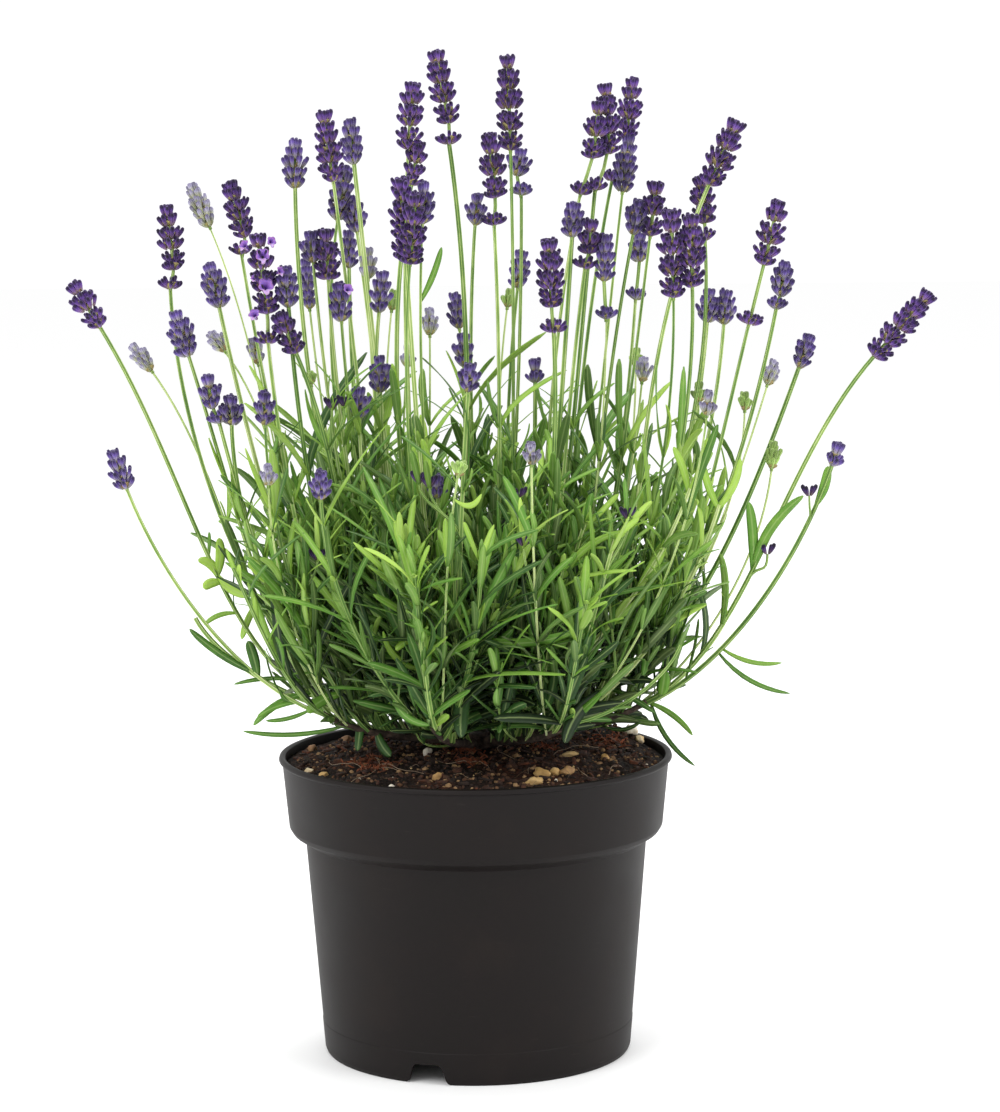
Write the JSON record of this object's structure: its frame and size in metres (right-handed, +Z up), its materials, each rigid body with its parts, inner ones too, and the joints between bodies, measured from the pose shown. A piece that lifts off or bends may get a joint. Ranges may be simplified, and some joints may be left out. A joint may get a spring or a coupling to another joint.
{
  "type": "potted lavender",
  "caption": "Bushy flowering lavender with slender leafy stems and purple flower heads, growing in a round black nursery pot filled with soil.",
  "frame": {"origin": "centre of the pot's base, on the surface that the pot stands on", "axes": "+Z up along the pot's axis, -Y towards the front of the plant, +X to the right seen from the front"},
  "size_m": [0.4128, 0.3183, 0.4816],
  "materials": {
    "pot_plastic": "matt injection-moulded nursery plastic",
    "soil": "moist potting soil of peat and bark",
    "wood": "rough grey-brown bark",
    "foliage": "soft matt green leaves and stems",
    "flower_heads": "velvety deep purple calyces"
  },
  "bodies": {
    "root": {"pot": "pot_plastic", "soil": "soil", "woody_crown": "wood", "leafy_bunch_1": "foliage", "leafy_bunch_2": "foliage", "leafy_bunch_3": "foliage", "leafy_bunch_4": "foliage", "leafy_bunch_5": "foliage", "leafy_bunch_6": "foliage", "leafy_bunch_7": "foliage", "leafy_bunch_8": "foliage", "head_far_left": "flower_heads", "head_low_left": "flower_heads", "head_left_outer": "flower_heads", "head_left_dark": "flower_heads", "head_left_inner": "flower_heads", "head_left_mid": "flower_heads", "heads_in_bloom": "flower_heads", "head_slim_left": "flower_heads", "head_upper_left": "flower_heads", "head_tall_left": "flower_heads", "head_back_left": "flower_heads", "heads_left_pair": "flower_heads", "head_rear_left": "flower_heads", "heads_inner_left_pair": "flower_heads", "head_left_short": "flower_heads", "head_inner_left": "flower_heads", "heads_tall_pair": "flower_heads", "heads_front_trio": "flower_heads", "head_tallest": "flower_heads", "head_tall_middle": "flower_heads", "head_middle_front": "flower_heads", "head_middle_short": "flower_heads", "head_middle_back": "flower_heads", "head_middle_rear": "flower_heads", "head_middle_inner": "flower_heads", "head_middle_low": "flower_heads", "head_front_low": "flower_heads", "head_left_low": "flower_heads", "head_front_left": "flower_heads", "head_side_left": "flower_heads", "heads_side_pair": "flower_heads", "head_low_front": "flower_heads", "head_right_low": "flower_heads", "head_dark_front": "flower_heads", "head_front_tall": "flower_heads", "heads_right_trio": "flower_heads", "heads_crossing_pair": "flower_heads", "heads_upper_pair": "flower_heads", "heads_inner_pair": "flower_heads", "head_right_rear": "flower_heads", "heads_right_pair": "flower_heads", "head_leaning_right": "flower_heads", "head_right_back": "flower_heads", "head_right_outer": "flower_heads", "head_right_mid": "flower_heads", "heads_back_pair": "flower_heads", "head_right_side": "flower_heads", "head_far_right": "flower_heads", "head_low_right": "flower_heads"}
  },
  "joints": []
}
